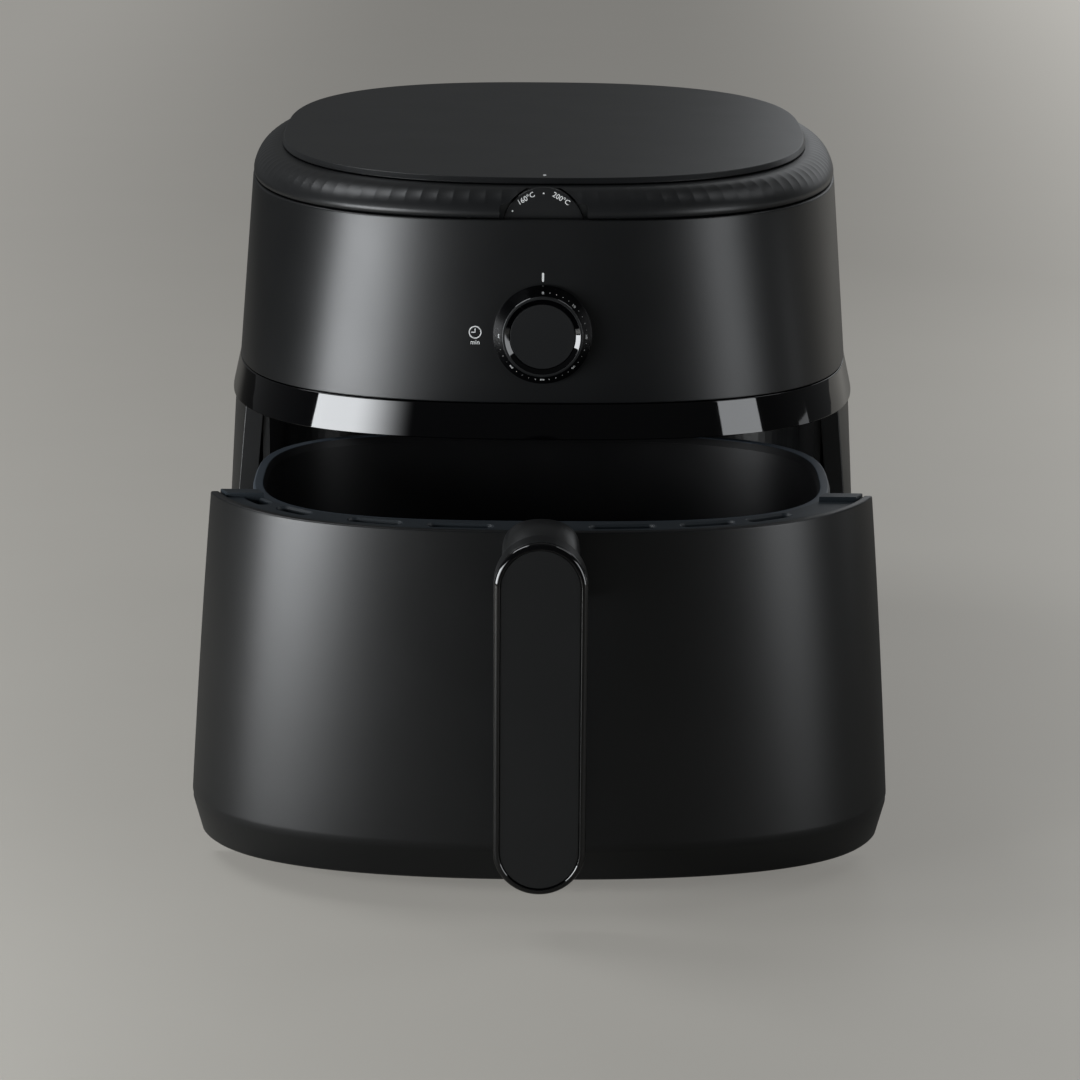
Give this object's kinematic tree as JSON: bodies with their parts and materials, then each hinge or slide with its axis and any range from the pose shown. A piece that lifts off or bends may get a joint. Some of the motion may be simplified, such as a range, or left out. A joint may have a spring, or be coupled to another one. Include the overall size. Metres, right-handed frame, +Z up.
{
  "type": "air fryer",
  "caption": "Countertop hot-air fryer with a pull-out drawer and pan, lift-out crisper tray, upright handle, timer knob, temperature thumbwheel and hot-air unit.",
  "frame": {"origin": "under the middle of the whole part, on the plane of the feet", "axes": "+Z up, the front with the drawer's handle faces -Y, +X to the right seen from the front"},
  "size_m": [0.311, 0.5446, 0.282],
  "materials": {
    "matte_body": "fine satin-matte moulded ABS",
    "satin_trim": "satin moulded plastic",
    "gloss_black": "polished black plastic",
    "slate_plastic": "satin blue-grey heat-resistant plastic",
    "non_stick": "pressed sheet with a dark non-stick coating",
    "sheet_metal": "plain pressed sheet",
    "steel": "plain turned or pressed steel",
    "dark_steel": "heat-darkened tube",
    "pale_plastic": "plain moulded nylon",
    "silicone": "soft moulded silicone",
    "rubber": "moulded rubber",
    "brass": "turned"
  },
  "bodies": {
    "housing": {"outer_wall": "matte_body", "base_tray": "matte_body", "foot_1": "rubber", "foot_2": "rubber", "foot_3": "rubber", "foot_4": "rubber", "gloss_band": "gloss_black", "upper_shell": "matte_body", "rear_grille": "matte_body", "shoulder_ring": "satin_trim", "top_plate": "satin_trim", "drawer_bay": "matte_body", "floor_guide_left": "slate_plastic", "floor_guide_right": "slate_plastic", "chamber_deck": "sheet_metal", "heat_shield": "sheet_metal", "heating_element": "dark_steel", "element_clip_1": "sheet_metal", "element_clip_2": "sheet_metal", "element_clip_3": "sheet_metal", "thermal_fuse": "pale_plastic", "motor_bracket": "steel", "motor": "steel", "exhaust_duct": "matte_body", "control_plate": "sheet_metal", "timer_body": "pale_plastic", "timer_bell": "steel", "thermostat_body": "pale_plastic", "drawer_switch": "pale_plastic", "cord_inlet": "rubber", "terminal_block": "pale_plastic"},
    "fan_rotor": {"motor_shaft": "steel", "hot_air_fan": "sheet_metal", "cooling_fan": "pale_plastic", "fan_nut": "steel"},
    "timer_dial": {"timer_knob": "gloss_black", "timer_knob_cap": "satin_trim", "timer_spindle": "brass"},
    "temperature_dial": {"temperature_wheel": "satin_trim", "thermostat_spindle": "brass"},
    "drawer": {"drawer_front": "matte_body", "rim_insert": "slate_plastic", "pan": "non_stick", "pan_rim": "slate_plastic", "drawer_sled": "slate_plastic", "handle_neck": "matte_body", "handle_grip": "matte_body", "handle_trim": "gloss_black", "handle_face": "satin_trim", "handle_screw_left": "steel", "handle_screw_right": "steel"},
    "crisper_tray": {"crisper_tray": "non_stick", "tray_pad_right": "silicone", "tray_pad_left": "silicone", "tray_pad_back": "silicone", "tray_pad_front": "silicone"},
    "switch_plunger": {"switch_plunger": "brass"}
  },
  "joints": [
    {"name": "drawer_slide", "type": "slide", "parent": "housing", "child": "drawer", "axis": [0, -1, 0], "range_m": [-0.1545, 0.055]},
    {"name": "tray_lift", "type": "slide", "parent": "drawer", "child": "crisper_tray", "axis": [0, 0, 1], "range_m": [0, 0.1]},
    {"name": "timer_turn", "type": "hinge", "parent": "housing", "child": "timer_dial", "pos_m": [0, -0.06978, 0.214], "axis": [0, -0.9985, 0.0549], "range_deg": [0, 270]},
    {"name": "temperature_turn", "type": "hinge", "parent": "housing", "child": "temperature_dial", "pos_m": [0, -0.05995, 0.26063], "axis": [0, -0.9985, 0.0549], "range_deg": [-150, 30]},
    {"name": "fan_spin", "type": "hinge", "parent": "housing", "child": "fan_rotor", "pos_m": [0, 0.04976, 0.22], "axis": [0, 0, 1], "continuous": true},
    {"name": "plunger_press", "type": "slide", "parent": "housing", "child": "switch_plunger", "axis": [0, 1, 0], "range_m": [0, 0.003], "stiffness_N_per_m": 150, "springref_m": -0.001}
  ]
}
